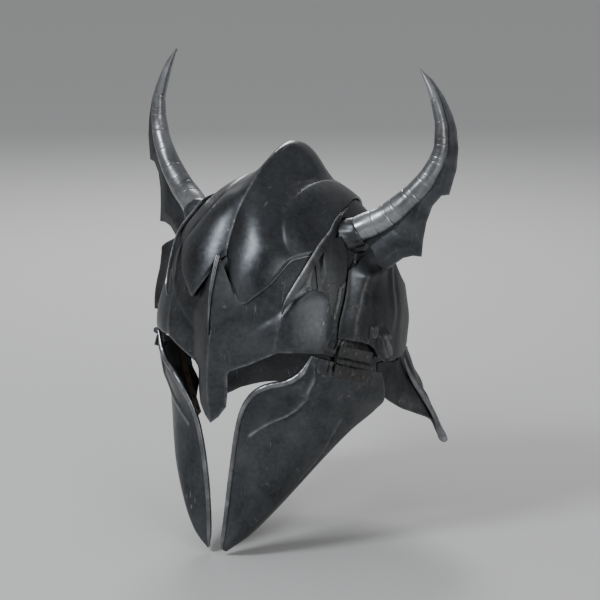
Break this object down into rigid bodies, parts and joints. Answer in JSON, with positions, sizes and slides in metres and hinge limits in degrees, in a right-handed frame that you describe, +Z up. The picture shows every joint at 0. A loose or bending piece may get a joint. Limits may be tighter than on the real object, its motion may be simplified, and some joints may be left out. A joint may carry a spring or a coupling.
{
  "type": "knight helmet",
  "caption": "Horned steel knight helmet with nose guard, keeled crest, flared neck guard, padded cap and two cheek plates that swing out on riveted hinges.",
  "frame": {"origin": "at the wearer's eye level, midway between the ears, where the head sits", "axes": "+Z up, -Y the way the face looks, +X the wearer's left"},
  "size_m": [0.3294, 0.2392, 0.4161],
  "materials": {
    "dark_steel": "satin, blackened and scratched",
    "worn_edge": "rubbed bright",
    "horn_steel": "rubbed, ringed",
    "hinge_iron": "rough, a little rusted",
    "fastener": "satin",
    "quilted_cloth": "quilted, matt",
    "leather": "worn"
  },
  "bodies": {
    "helmet": {"skull_shell": "dark_steel", "crown_plate": "dark_steel", "back_strip": "dark_steel", "brow_plate": "dark_steel", "brow_bead": "worn_edge", "neck_guard": "dark_steel", "crown_band_left": "worn_edge", "crown_band_right": "worn_edge", "temple_plate_left": "dark_steel", "temple_plate_right": "dark_steel", "ear_plate_left": "dark_steel", "ear_plate_right": "dark_steel", "neck_rib_left": "worn_edge", "neck_rib_right": "worn_edge", "horn_left": "horn_steel", "horn_right": "horn_steel", "horn_fin_left": "dark_steel", "horn_fin_right": "dark_steel", "horn_collar_left": "dark_steel", "horn_collar_right": "dark_steel", "horn_nut_left": "fastener", "horn_nut_right": "fastener", "hinge_upper_leaf_left": "hinge_iron", "hinge_upper_leaf_right": "hinge_iron", "hinge_pin_left": "fastener", "hinge_pin_right": "fastener", "hinge_upper_rivets_left": "fastener", "hinge_upper_rivets_right": "fastener", "neck_rivets": "fastener", "brow_rivets": "fastener", "padded_cap": "quilted_cloth", "sweatband": "leather", "chin_strap_left": "leather", "chin_strap_right": "leather", "strap_stud": "fastener"},
    "cheek_left": {"cheek_plate_left": "dark_steel", "cheek_rim_left": "worn_edge", "hinge_lower_leaf_left": "hinge_iron", "hinge_lower_rivets_left": "fastener"},
    "cheek_right": {"cheek_plate_right": "dark_steel", "cheek_rim_right": "worn_edge", "hinge_lower_leaf_right": "hinge_iron", "hinge_lower_rivets_right": "fastener"}
  },
  "joints": [
    {"name": "cheek_left_hinge", "type": "hinge", "parent": "helmet", "child": "cheek_left", "pos_m": [0.1043, -0.0386, 0.0056], "axis": [-0.4249, -0.8527, 0.3039], "range_deg": [0, 65]},
    {"name": "cheek_right_hinge", "type": "hinge", "parent": "helmet", "child": "cheek_right", "pos_m": [-0.1043, -0.0386, 0.0056], "axis": [-0.4249, 0.8527, -0.3039], "range_deg": [0, 65]}
  ]
}
